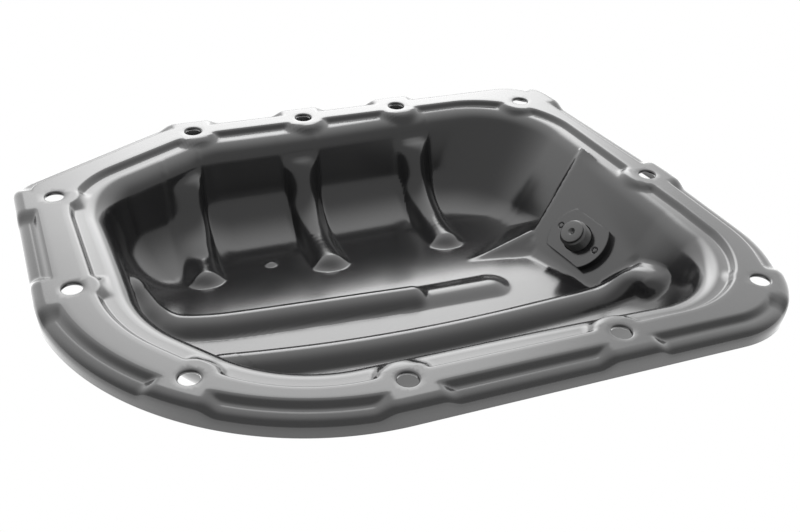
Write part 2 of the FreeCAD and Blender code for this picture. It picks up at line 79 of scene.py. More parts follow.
PLACE_SAMPLES, RAY_SAMPLES, LAND_SAMPLES = 4000, 6001, 2001
TINY, SLIGHT = 1e-12, 1e-6


def unit(vector):
    vector = np.asarray(vector, float)
    return vector / np.linalg.norm(vector, axis=-1, keepdims=True)


def outline_parts(corners, grow):
    """Arcs of a rounded outline grown outwards: centre, radius, first angle and sweep of each."""
    points = np.array([corner[:2] for corner in corners])
    along = unit(np.roll(points, -1, 0) - points)
    outward = np.stack([along[:, 1], -along[:, 0]], 1)
    arcs = []
    for index in range(len(points)):
        before, after = index - 1, index
        start = points[index] + outward[before] * grow
        other = points[index] + outward[after] * grow
        turn = along[before][0] * along[after][1] - along[before][1] * along[after][0]
        gap = other - start
        step = (gap[0] * along[after][1] - gap[1] * along[after][0]) / turn
        corner = start + along[before] * step
        radius = corners[index][2] + grow
        sweep = math.asin(min(1.0, turn))
        cut = radius * math.tan(sweep / 2)
        centre = corner - along[before] * cut - outward[before] * radius
        first = math.atan2(outward[before][1], outward[before][0])
        arcs.append((centre, radius, first, sweep))
    return arcs


def on_outline(corners, grow, at):
    """Points and outward normals at places: even whole numbers start an arc, odd ones a side."""
    arcs = outline_parts(corners, grow)
    count = len(arcs)
    at = np.mod(at, 2 * count)
    points, normals = np.zeros((len(at), 2)), np.zeros((len(at), 2))
    for row, place in enumerate(at):
        index, part = int(place) // 2, place % 2
        centre, radius, first, sweep = arcs[index]
        angle = first + sweep * min(part, 1.0)
        normal = np.array((math.cos(angle), math.sin(angle)))
        point = centre + normal * radius
        if part > 1.0:
            following = arcs[(index + 1) % count]
            end = following[0] + np.array((math.cos(following[2]), math.sin(following[2]))) * following[1]
            point = point + (end - point) * (part - 1.0)
        points[row], normals[row] = point, normal
    return points, normals


def even_places(corners, grow, start, end, count):
    """Places that cut an outline between two of its places into equal lengths."""
    fine = np.linspace(start, end, PLACE_SAMPLES)
    points, _ = on_outline(corners, grow, fine)
    length = np.concatenate([[0], np.cumsum(np.linalg.norm(np.diff(points, axis=0), axis=1))])
    return np.interp(np.linspace(0, length[-1], count + 1)[:-1], length, fine)


def cast_to_outline(corners, grow, origins, directions):
    """Where rays from inside meet an outline."""
    ring, _ = on_outline(corners, grow, np.linspace(0, 2 * len(corners), RAY_SAMPLES))
    start, edge = ring[:-1], np.diff(ring, axis=0)
    hits = np.zeros_like(origins)
    for row, (origin, direction) in enumerate(zip(origins, directions)):
        gap = start - origin
        cross = direction[0] * edge[:, 1] - direction[1] * edge[:, 0]
        cross = np.where(np.abs(cross) < TINY, TINY, cross)
        along_ray = (gap[:, 0] * edge[:, 1] - gap[:, 1] * edge[:, 0]) / cross
        along_edge = (gap[:, 0] * direction[1] - gap[:, 1] * direction[0]) / cross
        good = (along_ray > 0) & (along_edge >= -SLIGHT) & (along_edge <= 1 + SLIGHT)
        hits[row] = origin + direction * along_ray[good].min()
    return hits


def smooth_step(value, low, high):
    """0 up to low, 1 from high on, and a smooth rise between."""
    part = np.clip((value - low) / (high - low), 0, 1)
    return part * part * (3 - 2 * part)


def soft_max(a, b, width):
    """The greater of two values, rounded where they are less than the width apart."""
    part = np.clip(0.5 + 0.5 * (a - b) / width, 0, 1)
    return b + (a - b) * part + width * part * (1 - part)


KINK = -3.0  # about where the floor's two slopes meet, under the back bead
BACK_FLOOR, BACK_SLOPE, STEEPER, STEEPER_RUN = -35.4, 0.06, 0.055, 41.0
FRONT_FLOOR, FRONT_SLOPE = -35.5, 0.05
FLOOR_BLEND = 0.6


def floor_height(y):
    """Inside of the floor: it rises towards the front, most steeply just behind the back bead."""
    behind = y - KINK
    back = BACK_FLOOR - BACK_SLOPE * behind - STEEPER * np.clip(behind, None, STEEPER_RUN)
    front = FRONT_FLOOR - FRONT_SLOPE * y
    return -soft_max(-back, -front, FLOOR_BLEND)


# The pressed sheet, side seen from above: a grid of rows and columns over flange, wall and floor

ALONG, ACROSS = 176, 128  # columns on the front and back sides, and on the left and right sides
BACK_LEFT, FRONT_LEFT, FRONT_RIGHT, BACK_RIGHT = 0.55, 3.5, 6.5, 10.5  # places of the grid's corners
COLUMN_GROW = 8.0  # columns are even on the wall's outline grown by this

FLOOR_INSET = 21.0  # edge of the floor grid inside the foot
LEDGE = 9.0  # the low ledge round the bowl ends this far outside the wall's outline
# Where the wall's slope meets the ledge: shift off the wall's outline, for a long and a short run in plan
BRINK_OUT, BRINK_IN, SHORT_RUN, LONG_RUN = 4.2, 0.8, 6, 22
# Radius of the bend at the wall's foot, what the back and the front right corner add, and the rim's radius
FOOT_BEND, BACK_BEND, CORNER_BEND, RIM_BEND = 16, 8, 11, 8.2
BOWL_ROWS = [5, 15, 11, 9, 1]  # rows over the floor's edge, the foot, the wall, the rim and the ledge

# Lands: their radius, how much narrower they are this far out towards the skirt, and the widths of their edge
LAND_RADIUS, LAND_NARROWER, LAND_RUN = 9.4, 1.6, 9.0
LAND_INSIDE, LAND_OUTSIDE, LAND_SPREAD = 0.9, 2.4, 3.6
LAND_SEARCH = 30
LAND_DEPTH, LAND_FADE, LAND_FULL = -12, -9.0, -2.6  # heights over which a land fades out in the wall below it

# Rows of the flange: distances out from the wall's outline, parts of the way over the raised band, distances
# in from the skirt; with the distances between which its height rises and falls
STEP_REACHES, STEP_RISE = (9.0, 9.5, 10.0, 10.5, 11.0, 11.5, 12.2), (9.2, 11.8)
BAND_PARTS = (0.2, 0.4, 0.6, 0.8)
EDGE_INSETS, EDGE_FALL = (8.2, 7.6, 7.0, 6.5, 6.0, 5.5, 5.0, 4.2), (0.4, 3.2)
SKIRT_BEND = 3.6


def column_places():
    """Places of the columns on the outline of the wall."""
    spans = [
        (BACK_LEFT, FRONT_LEFT, ACROSS), (FRONT_LEFT, FRONT_RIGHT, ALONG),
        (FRONT_RIGHT, BACK_RIGHT, ACROSS), (BACK_RIGHT, BACK_LEFT + 2 * len(WALL), ALONG),
    ]
    return np.concatenate([even_places(WALL, COLUMN_GROW, *span) for span in spans])


def rounded_path(corners, radii, counts):
    """Rows of points along polylines with rounded corners; one polyline per column."""
    rows = []
    cuts, arcs = [], []
    for index in range(1, len(corners) - 1):
        to_before = unit(corners[index - 1] - corners[index])
        to_after = unit(corners[index + 1] - corners[index])
        inner = np.arccos(np.clip((to_before * to_after).sum(1), -1, 1))
        cut = radii[index - 1] / np.tan(inner / 2)
        cuts.append((corners[index] + to_before * cut[:, None], corners[index] + to_after * cut[:, None]))
        bisector = unit(to_before + to_after)
        arcs.append(corners[index] + bisector * (radii[index - 1] / np.sin(inner / 2))[:, None])
    ends = [corners[0]] + [point for cut in cuts for point in cut] + [corners[-1]]
    for part in range(len(ends) - 1):
        for step in np.arange(counts[part]) / counts[part]:
            if part % 2 == 0:
                rows.append(ends[part] + (ends[part + 1] - ends[part]) * step)
            else:
                centre = arcs[part // 2]
                a, b = ends[part] - centre, ends[part + 1] - centre
                angle = np.arccos(np.clip((unit(a) * unit(b)).sum(1), -1, 1))[:, None]
                turned = a * np.sin((1 - step) * angle) + b * np.sin(step * angle)
                rows.append(centre + turned / np.sin(angle))
    return rows


def lift(points, heights):
    """Points in space from points in plan."""
    return np.column_stack([points, np.broadcast_to(heights, len(points))])


def land_amount(x, y):
    """1 on the full-height land round a bolt hole and out to the skirt, 0 away from it."""
    amount = np.zeros_like(x)
    ring, _ = on_outline(SKIRT, 0.0, np.linspace(0, 2 * len(SKIRT), LAND_SAMPLES))
    for centre in HOLES:
        centre = np.array(centre)
        gaps = np.linalg.norm(ring - centre, axis=1)
        outward = unit(ring[gaps.argmin()] - centre)
        near = (x - centre[0]) ** 2 + (y - centre[1]) ** 2 < LAND_SEARCH ** 2
        dx, dy = x[near] - centre[0], y[near] - centre[1]
        out = np.clip(dx * outward[0] + dy * outward[1], 0, None)
        distance = np.hypot(dx - out * outward[0], dy - out * outward[1])
        far = np.clip(out / LAND_RUN, 0, 1)
        radius = LAND_RADIUS - LAND_NARROWER * far
        low, high = radius - LAND_INSIDE, radius + LAND_OUTSIDE + LAND_SPREAD * far
        amount[near] = np.maximum(amount[near], 1 - smooth_step(distance, low, high))
    return amount


def foot_bends(foot):
    """Radius of the bend at the wall's foot: larger at the back, the back left and the front right."""
    x, y = foot.T
    back = smooth_step(y, 50, 64)
    back_left = smooth_step(-x, 48, 60) * smooth_step(y, 0, 25)
    front_right = smooth_step(x, 66, 82) * smooth_step(-y, 20, 42)
    return FOOT_BEND + BACK_BEND * np.maximum(back, back_left) + CORNER_BEND * front_right


def bowl_rows(places, wall, outward):
    """Rows over the floor's edge, round the foot, up the wall and on to the ledge."""
    foot, _ = on_outline(FOOT, 0.0, places)
    inner, _ = on_outline(FOOT, -FLOOR_INSET, places)
    run = np.linalg.norm(wall - foot, axis=1)
    brink = wall + outward * (BRINK_OUT * smooth_step(run, SHORT_RUN, LONG_RUN) - BRINK_IN)[:, None]
    corners = [
        lift(inner, floor_height(inner[:, 1])), lift(foot, floor_height(foot[:, 1])),
        lift(brink, -STEP), lift(wall + outward * LEDGE, -STEP),
    ]
    rows = rounded_path(corners, [foot_bends(foot), np.full(len(places), RIM_BEND)], BOWL_ROWS)
    for row in rows:
        if row[:, 2].max() > LAND_DEPTH:
            land = land_amount(row[:, 0], row[:, 1])
            row[:, 2] += STEP * land * smooth_step(row[:, 2], LAND_FADE, LAND_FULL)
    return rows


def flange_rows(wall, outward):
    """Rows from the ledge over the raised band to the flange's low edge."""
    count = len(wall)
    bands = []
    for reach in STEP_REACHES:
        bands.append((wall + outward * reach, smooth_step(np.full(count, reach), *STEP_RISE)))
    start = wall + outward * STEP_REACHES[-1]
    end = cast_to_outline(SKIRT, -EDGE_INSETS[0], wall, outward)
    for part in BAND_PARTS:
        bands.append((start + (end - start) * part, np.ones(count)))
    for inset in EDGE_INSETS:
        ring = cast_to_outline(SKIRT, -inset, wall, outward)
        bands.append((ring, 1 - smooth_step(np.full(count, EDGE_INSETS[0] - inset), *EDGE_FALL)))
    rows = []
    for points, band in bands:
        full = np.maximum(band, land_amount(points[:, 0], points[:, 1]))
        rows.append(lift(points, -STEP * (1 - full)))
    return rows


def skirt_rows(wall, outward):
    """Rows round the bend at the flange's edge and down the skirt."""
    level = cast_to_outline(SKIRT, -SKIRT_BEND, wall, outward)
    top = -STEP * (1 - land_amount(level[:, 0], level[:, 1]))
    rows = []
    for angle in np.radians((0, 18, 36, 54, 72, 90)):
        ring = cast_to_outline(SKIRT, -SKIRT_BEND * (1 - math.sin(angle)), wall, outward)
        rows.append(lift(ring, top - SKIRT_BEND * (1 - math.cos(angle))))
    edge = cast_to_outline(SKIRT, 0.0, wall, outward)
    low = rows[-1][:, 2]
    for part in (0.5, 1.0):
        rows.append(lift(edge, low + (SKIRT_LOW - low) * part))
    return rows


def sheet_rows():
    """Rows from the edge of the floor grid out to the lower edge of the skirt."""
    places = column_places()
    wall, outward = on_outline(WALL, 0.0, places)
    return np.array(bowl_rows(places, wall, outward) + flange_rows(wall, outward) + skirt_rows(wall, outward))


def floor_grid(ring):
    """Grid inside the ring of the first row, blended between its four sides."""
    left = ring[:ACROSS + 1][::-1]
    front = ring[ACROSS:ACROSS + ALONG + 1]
    right = ring[ACROSS + ALONG:2 * ACROSS + ALONG + 1]
    back = np.vstack([ring[2 * ACROSS + ALONG:], ring[:1]])[::-1]
    u = np.linspace(0, 1, ALONG + 1)[:, None, None]
    v = np.linspace(0, 1, ACROSS + 1)[None, :, None]
    grid = (1 - v) * front[:, None] + v * back[:, None] + (1 - u) * left[None] + u * right[None]
    grid -= (1 - u) * (1 - v) * front[0] + u * (1 - v) * front[-1] + (1 - u) * v * back[0] + u * v * back[-1]
    grid[:, :, 2] = floor_height(grid[:, :, 1])
    return grid


class Sheet:
    """Vertices and faces of one side of the sheet."""

    def __init__(self, rows, grid):
        self.rows, self.count = rows.shape[0], rows.shape[1]
        self.along, self.across = grid.shape[0] - 1, grid.shape[1] - 1
        inner = grid[1:-1, 1:-1].reshape(-1, 3)
        self.points = np.vstack([rows.reshape(-1, 3), inner])
        self.faces = self.ring_faces() + self.grid_faces()

    def ring_faces(self):
        faces = []
        for row in range(self.rows - 1):
            for column in range(self.count):
                following = (column + 1) % self.count
                a, b = row * self.count + column, row * self.count + following
                faces.append((a + self.count, b + self.count, b, a))
        return faces

    def grid_index(self, i, j):
        """Vertex of the grid: its outer ring is the first row."""
        along, across = self.along, self.across
        if i == 0:
            return across - j
        if j == 0:
            return across + i
        if i == along:
            return across + along + j
        if j == across:
            return (2 * across + along + (along - i)) % self.count
        return self.rows * self.count + (i - 1) * (across - 1) + (j - 1)

    def grid_faces(self):
        faces = []
        for i in range(self.along):
            for j in range(self.across):
                faces.append((
                    self.grid_index(i, j), self.grid_index(i + 1, j),
                    self.grid_index(i + 1, j + 1), self.grid_index(i, j + 1),
                ))
        return faces


def point_normals(points, faces, passes):
    """Area-weighted normals, smoothed over the faces round each point."""
    index = np.array(faces)
    quads = points[index]
    flat = np.cross(quads[:, 2] - quads[:, 0], quads[:, 3] - quads[:, 1])
    normals = np.zeros_like(points)
    for corner in range(4):
        np.add.at(normals, index[:, corner], flat)
    normals = unit(normals)
    for _ in range(passes):
        mean = normals[index].mean(1)
        total = np.zeros_like(points)
        for corner in range(4):
            np.add.at(total, index[:, corner], mean)
        normals = unit(total)
    return normals


# What is pressed inwards. Each form gives, for points and directions, how far along the direction it reaches.

MISS = -9.0  # reach where a form is passed by
FALL = 2  # how steeply the reach falls away beside a form
LEAST_FALL = 4.0  # a low bead's sides fall away as if it were this high

# Ribs: radius of the back, half width, and how many half widths of sheet to either side are looked at
RIB_RADIUS, RIB_HALF_WIDTH, RIB_SEARCH = 7.8, 8.0, 1.6
# Centres of the back behind the wall, as y and height; then the bend and the nose, below the floor
RIB_WALL = [
    (76.8, -18.4), (75.3, -21.6), (74.0, -24.6), (71.4, -29.8), (67.4, -34.4), (62.0, -38.2), (55.0, -40.9),
]
RIB_BEND, BEND_DEPTH, NOSE_DEPTH = 46.0, 2.2, 3.2
# The nose's cone: its middle and start behind the nose's y, its radius over the rib's, and its blend
NOSE_CENTRE, NOSE_START, NOSE_WIDER, NOSE_BLEND = 2.5, 5, 1.5, 0.5
NO_CONE = 30.0
RIBS = [(-64.6, 35.0, 4.4), (-12.2, 31.0, 0.0), (42.0, 32.5, 0.0)]  # x, the nose's y, shift to the front

BEAD_HALF_WIDTH, BEAD_HEIGHT, LOW_BEAD_HEIGHT = 7.6, 5.5, 2.0
FRONT_BEAD = [
    (-72, -29.7), (-55, -32.7), (-30, -36.0), (0, -37.8), (30, -37.6), (60, -36.0), (80, -34.4),
    (91.5, -34.6), (95.5, -38.5), (97.5, -43.5),
]
BACK_BEAD = [
    (-95.5, 14), (-91, 7), (-82, 0.3), (-70, -3.4), (-56, -5.0), (-30, -7.0), (-10, -8.5), (9, -10.0),
]
LOW_BEAD = [(5, -9.8), (25, -10.4), (43, -10.8)]

PIP_X, PIP_Y, PIP_RADIUS, PIP_HEIGHT, PIP_SEARCH = -36.0, 38.7, 3.2, 1.2, 20

# Corners of the facet, level and uphill from its hole
FACET_CORNERS = [(-29.9, 28.7), (-23.3, -6.7), (-11.0, -21.6), (18.5, -12.8), (27.0, -3.8), (22.2, 30.4)]
FACET_DRAFT, FACET_EDGE = 0.45, 1.2
# The ridge that runs from the facet's left corner on to the floor: two planes through one point
WING_POINT, WING_EDGE = (77.0, 16.0, -29.8), 0.8
WING_NORMALS = [(-0.144, -0.517, 0.844), (-0.264, 0.454, 0.85)]
BLOCK_FAR, BLOCK_AHEAD, AHEAD_FALL = 60.0, 5, 4  # a block that starts further ahead than this is passed by

RIB_BLEND, BEAD_BLEND, PIP_BLEND, FACET_BLEND, WING_BLEND = 1.2, 1.0, 0.3, 0.9, 1.5
BOWL_TOP = -2.5  # forms act on the sheet below this
FORM_PASSES, SHEET_PASSES = 6, 2  # smoothing of the normals that the forms and the thickness follow


def exit_of_discs(points, ways, centres, radius):
    """In a plane: furthest exit of each ray from a row of discs; falls away where the ray misses them."""
    best = np.full(len(points), MISS)
    for centre in centres:
        gap = centre - points
        nearest = (gap * ways).sum(1)
        off = np.sqrt(np.clip((gap * gap).sum(1) - nearest ** 2, 0, None))
        half_chord = np.sqrt(np.clip(radius ** 2 - off ** 2, 0, None))
        best = np.maximum(best, nearest + np.where(off < radius, half_chord, -(off - radius) * FALL))
    return best


def round_back(height, offset, half_width):
    """Cross-section of a run: a round back that comes down steeply to the sheet at both sides."""
    part = offset / half_width
    return np.where(part < 1, height * (1 - part ** 2), -np.maximum(height, LEAST_FALL) * FALL * (part - 1))


def reach_of_rib(points, directions, x, path):
    """Rib at one x: its back follows the path, its nose is a short cone."""
    near = np.abs(points[:, 0] - x) < RIB_HALF_WIDTH * RIB_SEARCH
    reach = np.full(len(points), MISS)
    flat, ways = points[near][:, 1:], unit(directions[near][:, 1:])
    height = exit_of_discs(flat, ways, path, RIB_RADIUS)
    offset = np.abs(points[near][:, 0] - x)
    back = round_back(height, offset, RIB_HALF_WIDTH)
    nose_y = path[-1][0]
    ahead = np.hypot(np.minimum(flat[:, 0] - nose_y - NOSE_CENTRE, 0), offset)
    cone = np.where(flat[:, 0] < nose_y + NOSE_START, RIB_HALF_WIDTH + NOSE_WIDER - ahead, NO_CONE)
    reach[near] = -soft_max(-back, -cone, NOSE_BLEND)
    return np.clip(reach, MISS, None)


def reach_of_ball(points, directions, centre, radius):
    gap = centre - points
    nearest = (gap * directions).sum(1)
    off = np.sqrt(np.clip((gap * gap).sum(1) - nearest ** 2, 0, None))
    half_chord = np.sqrt(np.clip(radius ** 2 - off ** 2, 0, None))
    depth = np.where(off < radius, half_chord, -(off - radius) * FALL)
    return np.where(nearest < PIP_SEARCH, nearest + depth, MISS)


def reach_of_bead(points, path, height):
    """Bead along a path in plan, laid on the sheet."""
    gaps = np.linalg.norm(points[None, :, :2] - path[:, None], axis=2)
    path = np.column_stack([path, points[gaps.argmin(1), 2]])
    nearest = np.full(len(points), np.inf)
    for a, b in zip(path[:-1], path[1:]):
        along = b - a
        part = np.clip(((points - a) @ along) / (along @ along), 0, 1)
        nearest = np.minimum(nearest, np.linalg.norm(points - a - part[:, None] * along, axis=1))
    return round_back(np.full(len(points), height), nearest, BEAD_HALF_WIDTH)


def reach_of_block(points, directions, planes, width):
    """Exit from the block behind several planes (point, outward normal), with softened edges."""
    exit_at, entry_at = None, None
    for origin, normal in planes:
        slope = directions @ normal
        at = ((np.asarray(origin) - points) @ normal) / np.where(np.abs(slope) < SLIGHT, SLIGHT, slope)
        leaving = np.where(slope > SLIGHT, at, BLOCK_FAR)
        entering = np.where(slope < -SLIGHT, at, -BLOCK_FAR)
        exit_at = leaving if exit_at is None else -soft_max(-exit_at, -leaving, width)
        entry_at = entering if entry_at is None else np.maximum(entry_at, entering)
    missed = np.clip(entry_at - exit_at, 0, None) * FALL
    missed += np.clip(entry_at - BLOCK_AHEAD, 0, None) * AHEAD_FALL
    return np.clip(exit_at - missed, MISS, BLOCK_FAR)


def path_points(corners, spacing=0.8):
    """Evenly spaced points along a polyline."""
    corners = np.array(corners, float)
    lengths = np.concatenate([[0], np.cumsum(np.linalg.norm(np.diff(corners, axis=0), axis=1))])
    at = np.linspace(0, lengths[-1], max(2, int(lengths[-1] / spacing)))
    return np.column_stack([np.interp(at, lengths, axis) for axis in corners.T])


def smooth_path(corners, passes=2):
    """Rounds a polyline by cutting its corners."""
    corners = [np.array(corner, float) for corner in corners]
    for _ in range(passes):
        cut = [corners[0]]
        for a, b in zip(corners[:-1], corners[1:]):
            cut += [a * 0.75 + b * 0.25, a * 0.25 + b * 0.75]
        corners = cut + [corners[-1]]
    return corners


def rib_path(nose, ahead):
    """Centres of the rib's round back, as y and height: down behind the wall, round the bend, to the nose."""
    path = [(y - ahead, z) for y, z in RIB_WALL]
    bend = (RIB_BEND, floor_height(RIB_BEND) - BEND_DEPTH)
    return smooth_path(path + [bend, (nose, floor_height(nose) - NOSE_DEPTH)])


def on_facet(across, up):
    return DRAIN + LEVEL * across + UPHILL * up


def facet_planes():
    """The facet and its drafted sides."""
    planes = [(DRAIN, INWARD)]
    for (x0, y0), (x1, y1) in zip(FACET_CORNERS[:-1], FACET_CORNERS[1:]):
        along = LEVEL * (x1 - x0) + UPHILL * (y1 - y0)
        side = unit(np.cross(along, INWARD))
        planes.append((on_facet(x0, y0), unit(side + INWARD * FACET_DRAFT)))
    return planes


def pressed_forms():
    """For every form, the function that gives its reach and the softness of its join."""
    forms = []
    for x, nose, ahead in RIBS:
        path = path_points(rib_path(nose, ahead))
        forms.append((lambda p, d, x=x, c=path: reach_of_rib(p, d, x, c), RIB_BLEND))
    for corners, height in ((FRONT_BEAD, BEAD_HEIGHT), (BACK_BEAD, BEAD_HEIGHT), (LOW_BEAD, LOW_BEAD_HEIGHT)):
        path = np.array(smooth_path(corners))
        forms.append((lambda p, d, c=path, h=height: reach_of_bead(p, c, h), BEAD_BLEND))
    ball = (PIP_RADIUS ** 2 + PIP_HEIGHT ** 2) / (2 * PIP_HEIGHT)
    centre = np.array((PIP_X, PIP_Y, floor_height(PIP_Y) + PIP_HEIGHT - ball))
    forms.append((lambda p, d: reach_of_ball(p, d, centre, ball), PIP_BLEND))
    forms.append((lambda p, d: reach_of_block(p, d, facet_planes(), FACET_EDGE), FACET_BLEND))
    wing = [(WING_POINT, unit(normal)) for normal in WING_NORMALS]
    forms.append((lambda p, d: reach_of_block(p, d, wing, WING_EDGE), WING_BLEND))
    return forms


def pressed_sheet():
    """The plain bowl and flange, with the bowl's points moved along their normals on to the forms."""
    rows = sheet_rows()
    sheet = Sheet(rows, floor_grid(rows[0]))
    directions = point_normals(sheet.points, sheet.faces, FORM_PASSES)
    deep = sheet.points[:, 2] < BOWL_TOP
    deep[sum(BOWL_ROWS) * sheet.count:len(rows) * sheet.count] = False
    points, ways = sheet.points[deep], directions[deep]
    height = np.zeros(len(points))
    for reach, width in pressed_forms():
        height = soft_max(reach(points, ways), height, width)
    sheet.points[deep] = points + ways * height[:, None]
    return sheet


def under_side(sheet):
    """Every second row and column, a sheet thickness below."""
    normals = point_normals(sheet.points, sheet.faces, SHEET_PASSES)
    lower = sheet.points - normals * STEEL
    rows = lower[:sheet.rows * sheet.count].reshape(sheet.rows, sheet.count, 3)
    full = np.zeros((sheet.along + 1, sheet.across + 1, 3))
    for i in range(sheet.along + 1):
        for j in range(sheet.across + 1):
            full[i, j] = lower[sheet.grid_index(i, j)]
    kept = list(range((sheet.rows - 1) % 2, sheet.rows, 2))
    picked = rows[kept][:, ::2]
    picked[-1, :, 2] = SKIRT_LOW
    if kept[0] != 0:
        picked = np.vstack([rows[:1, ::2], picked])
    return Sheet(picked, full[::2, ::2])


# Holes

# Rings of a hole on the sheet's inner and outer side, as radius and distance down the hole's axis
BOLT_RINGS = [(4.3, 0.0), (3.95, 0.06), (3.65, 0.24), (HOLE_RADIUS, 0.55)]
BOLT_RINGS_BELOW = [(4.0, 0.0), (3.6, -0.1), (HOLE_RADIUS, -0.25)]
DRAIN_RINGS = [(7.2, 0.0), (6.6, 0.1), (6.5, 0.3)]
DRAIN_RINGS_BELOW = [(7.2, 0.0), (6.6, -0.1), (6.5, -0.3)]
BOLT_CLEAR, DRAIN_CLEAR, HOLE_SEARCH = 5.2, 8.4, 4  # faces are cleared this far off and along the axis
HOLE_SEGMENTS = 40
UPRIGHT = (0.0, 0.0, 1.0)
ASKEW = (0.3, 0.9, 0.1)  # lies along no hole's axis


def boundary_loop(faces):
    """Closed loop of points round a patch of faces."""
    following = {}
    edges = set()
    for face in faces:
        for a, b in zip(face, face[1:] + face[:1]):
            edges.add((a, b))
    for a, b in edges:
        if (b, a) not in edges:
            following[a] = b
    start = next(iter(following))
    loop = [start]
    while following[loop[-1]] != start:
        loop.append(following[loop[-1]])
    return loop


def joining_faces(loop, angles, turns, first):
    """Triangles between a loop of points and a ring of as many points as turns, both sorted by angle."""
    faces = []
    i, j = 0, 0
    outer, inner = len(loop), len(turns)
    while i < outer or j < inner:
        next_outer = angles[i + 1] if i + 1 < outer else angles[0] + 2 * math.pi
        next_inner = turns[j + 1] if j + 1 < inner else 2 * math.pi
        a, c = loop[i % outer], first + j % inner
        if j >= inner or (i < outer and next_outer <= next_inner):
            faces.append((a, loop[(i + 1) % outer], c))
            i += 1
        else:
            faces.append((a, first + (j + 1) % inner, c))
            j += 1
    return faces


def cut_hole(points, faces, centre, axis, clear, rings):
    """Replaces the faces near a point by rings of a hole. Returns the inmost ring's points."""
    centre, axis = np.asarray(centre, float), unit(axis)
    gap = points - centre
    height = gap @ axis
    off = np.linalg.norm(gap - height[:, None] * axis, axis=1)
    near = (off < clear) & (np.abs(height) < HOLE_SEARCH)
    hit = near[np.array([face if len(face) == 4 else face + face[:1] for face in faces])].any(1)
    loop = boundary_loop([face for face, flag in zip(faces, hit) if flag])
    faces = [face for face, flag in zip(faces, hit) if not flag]
    side = unit(np.cross(axis, ASKEW))
    other = np.cross(axis, side)
    turns = np.linspace(0, 2 * math.pi, HOLE_SEGMENTS, endpoint=False)
    spokes = np.cos(turns)[:, None] * side + np.sin(turns)[:, None] * other
    first = len(points)
    points = np.vstack([points] + [centre + radius * spokes - axis * drop for radius, drop in rings])
    for index in range(len(rings) - 1):
        start = first + index * HOLE_SEGMENTS
        for k in range(HOLE_SEGMENTS):
            a, b = start + k, start + (k + 1) % HOLE_SEGMENTS
            faces.append((a, b, b + HOLE_SEGMENTS, a + HOLE_SEGMENTS))
    around = points[loop] - centre
    angles = np.arctan2(around @ other, around @ side)
    order = int(np.argmin(np.abs(angles)))
    loop, angles = loop[order:] + loop[:order], np.unwrap(np.roll(angles, -order))
    backwards = angles[-1] < angles[0]
    if backwards:
        loop, angles = loop[:1] + loop[:0:-1], np.concatenate([angles[:1], angles[:0:-1]])
        angles = np.unwrap(angles)
    joined = joining_faces(loop, angles, turns, first)
    faces += [face[::-1] for face in joined] if backwards else joined
    last = first + (len(rings) - 1) * HOLE_SEGMENTS
    return points, faces, list(range(last, last + HOLE_SEGMENTS))


def pan_mesh():
    """Both sides of the sheet with their holes, joined in the bores and along the skirt's lower edge."""
    upper = pressed_sheet()
    lower = under_side(upper)
    points, faces = upper.points, upper.faces
    under_points, under_faces = lower.points, lower.faces
    last = [(upper.rows - 1) * upper.count + k for k in range(upper.count)]
    under_last = [(lower.rows - 1) * lower.count + k for k in range(lower.count)]
    holes = []
    for x, y in HOLES:
        holes.append((np.array((x, y, 0.0)), np.array(UPRIGHT), BOLT_CLEAR, BOLT_RINGS, BOLT_RINGS_BELOW))
    holes.append((DRAIN, INWARD, DRAIN_CLEAR, DRAIN_RINGS, DRAIN_RINGS_BELOW))
    bores = []
    for centre, axis, clear, rings, rings_below in holes:
        points, faces, top = cut_hole(points, faces, centre, axis, clear, rings)
        under_points, under_faces, bottom = cut_hole(
            under_points, under_faces, centre - axis * STEEL, axis, clear, rings_below)
        bores.append((top, bottom))
    shift = len(points)
    everything = np.vstack([points, under_points])
    faces = faces + [tuple(index + shift for index in face[::-1]) for face in under_faces]
    for top, bottom in bores:
        for k in range(len(top)):
            following = (k + 1) % len(top)
            faces.append((top[k], top[following], bottom[following] + shift, bottom[k] + shift))
    count = len(last)
    for k in range(0, count, 2):
        a, b, c = last[k], last[k + 1], last[(k + 2) % count]
        d, e = under_last[k // 2] + shift, under_last[(k // 2 + 1) % len(under_last)] + shift
        faces += [(b, a, d), (c, b, e), (b, d, e)]
    return everything, faces


SHEET_SHARP, RING_SHARP = math.radians(50), math.radians(32)


def add_mesh(name, points, faces, material, sharp):
    """Mesh object from millimetre points with the flange top at height 0."""
    mesh = bpy.data.meshes.new(name)
    mesh.from_pydata(((np.asarray(points) + (0, 0, TOP)) * MM).tolist(), [], [list(face) for face in faces])
    mesh.validate()
    mesh.polygons.foreach_set("use_smooth", [True] * len(mesh.polygons))
    mesh.set_sharp_from_angle(angle=sharp)
    mesh.materials.append(material)
    mesh.update()
    thing = bpy.data.objects.new(name, mesh)
    bpy.context.scene.collection.objects.link(thing)
    return thing


# Finishes

MOTTLE_SCALE, MOTTLE_DETAIL = 60, 4


def coat(name, base, rough, speck, metallic=0.0):
    """Painted or plain metal with faint mottling of its gloss."""
    material = bpy.data.materials.new(name)
    material.use_nodes = True
    tree = material.node_tree
    shader = tree.nodes["Principled BSDF"]
    shader.inputs["Base Color"].default_value = (*base, 1)
    shader.inputs["Metallic"].default_value = metallic
    shader.inputs["Roughness"].default_value = rough
    where = tree.nodes.new("ShaderNodeTexCoord")
    noise = tree.nodes.new("ShaderNodeTexNoise")
    noise.inputs["Scale"].default_value = MOTTLE_SCALE
    noise.inputs["Detail"].default_value = MOTTLE_DETAIL
    spread = tree.nodes.new("ShaderNodeMapRange")
    spread.inputs["To Min"].default_value = rough - speck
    spread.inputs["To Max"].default_value = rough + speck
    tree.links.new(where.outputs["Object"], noise.inputs["Vector"])
    tree.links.new(noise.outputs["Fac"], spread.inputs["Value"])
    tree.links.new(spread.outputs["Result"], shader.inputs["Roughness"])
    return material


